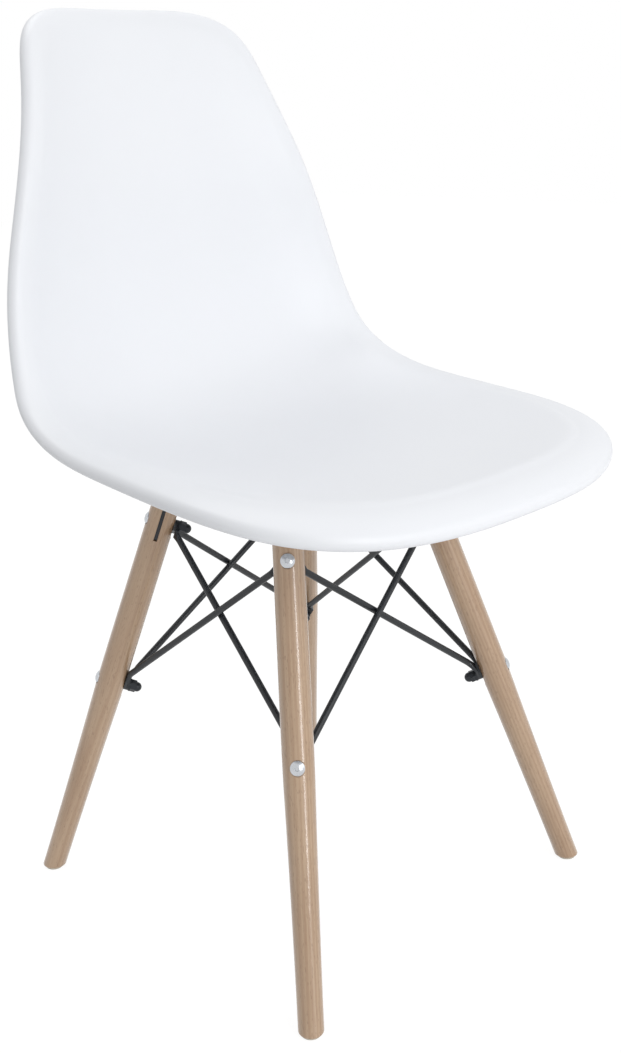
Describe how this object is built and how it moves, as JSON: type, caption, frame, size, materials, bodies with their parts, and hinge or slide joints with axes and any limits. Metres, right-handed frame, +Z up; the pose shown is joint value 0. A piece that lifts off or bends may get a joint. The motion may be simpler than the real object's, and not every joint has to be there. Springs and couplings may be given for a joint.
{
  "type": "moulded plastic shell chair",
  "caption": "Armless dining chair: a one-piece moulded plastic seat and back on splayed tapered beech legs, braced by crossed black steel rods.",
  "frame": {"origin": "on the floor, under the middle of the bounding box", "axes": "+Z up; the chair faces -Y, so the back is at +Y and the sitter's right hand at -X; mirror symmetric about X=0 apart from the stacking of the rods and bars"},
  "size_m": [0.4618, 0.5074, 0.8292],
  "materials": {
    "moulded_polypropylene": "satin moulded white",
    "lacquered_beech": "clear satin lacquer",
    "black_powder_coat": "satin black powder coat",
    "black_zinc": "black zinc plate",
    "bright_zinc": "bright zinc plate",
    "black_rubber": "matt",
    "brass": "turned",
    "clear_nylon": "natural nylon"
  },
  "bodies": {
    "root": {"centre_bolt": "black_zinc", "centre_nut": "black_zinc", "centre_washer": "black_zinc", "crossbar_lower": "black_powder_coat", "crossbar_upper": "black_powder_coat", "foot_glides": "clear_nylon", "glide_nails": "bright_zinc", "leg_front_left": "lacquered_beech", "leg_front_right": "lacquered_beech", "leg_rear_left": "lacquered_beech", "leg_rear_right": "lacquered_beech", "lower_leg_bolts": "bright_zinc", "lower_leg_nuts": "black_zinc", "lower_leg_washers": "black_zinc", "rod_front_inner": "black_powder_coat", "rod_front_outer": "black_powder_coat", "rod_left_inner": "black_powder_coat", "rod_left_outer": "black_powder_coat", "rod_rear_inner": "black_powder_coat", "rod_rear_outer": "black_powder_coat", "rod_right_inner": "black_powder_coat", "rod_right_outer": "black_powder_coat", "rubber_pads": "black_rubber", "seat_screw_washers": "bright_zinc", "seat_screws": "bright_zinc", "seat_shell": "moulded_polypropylene", "threaded_inserts": "brass", "upper_leg_bolts": "bright_zinc", "upper_leg_nuts": "black_zinc", "upper_leg_washers": "black_zinc"}
  },
  "joints": []
}
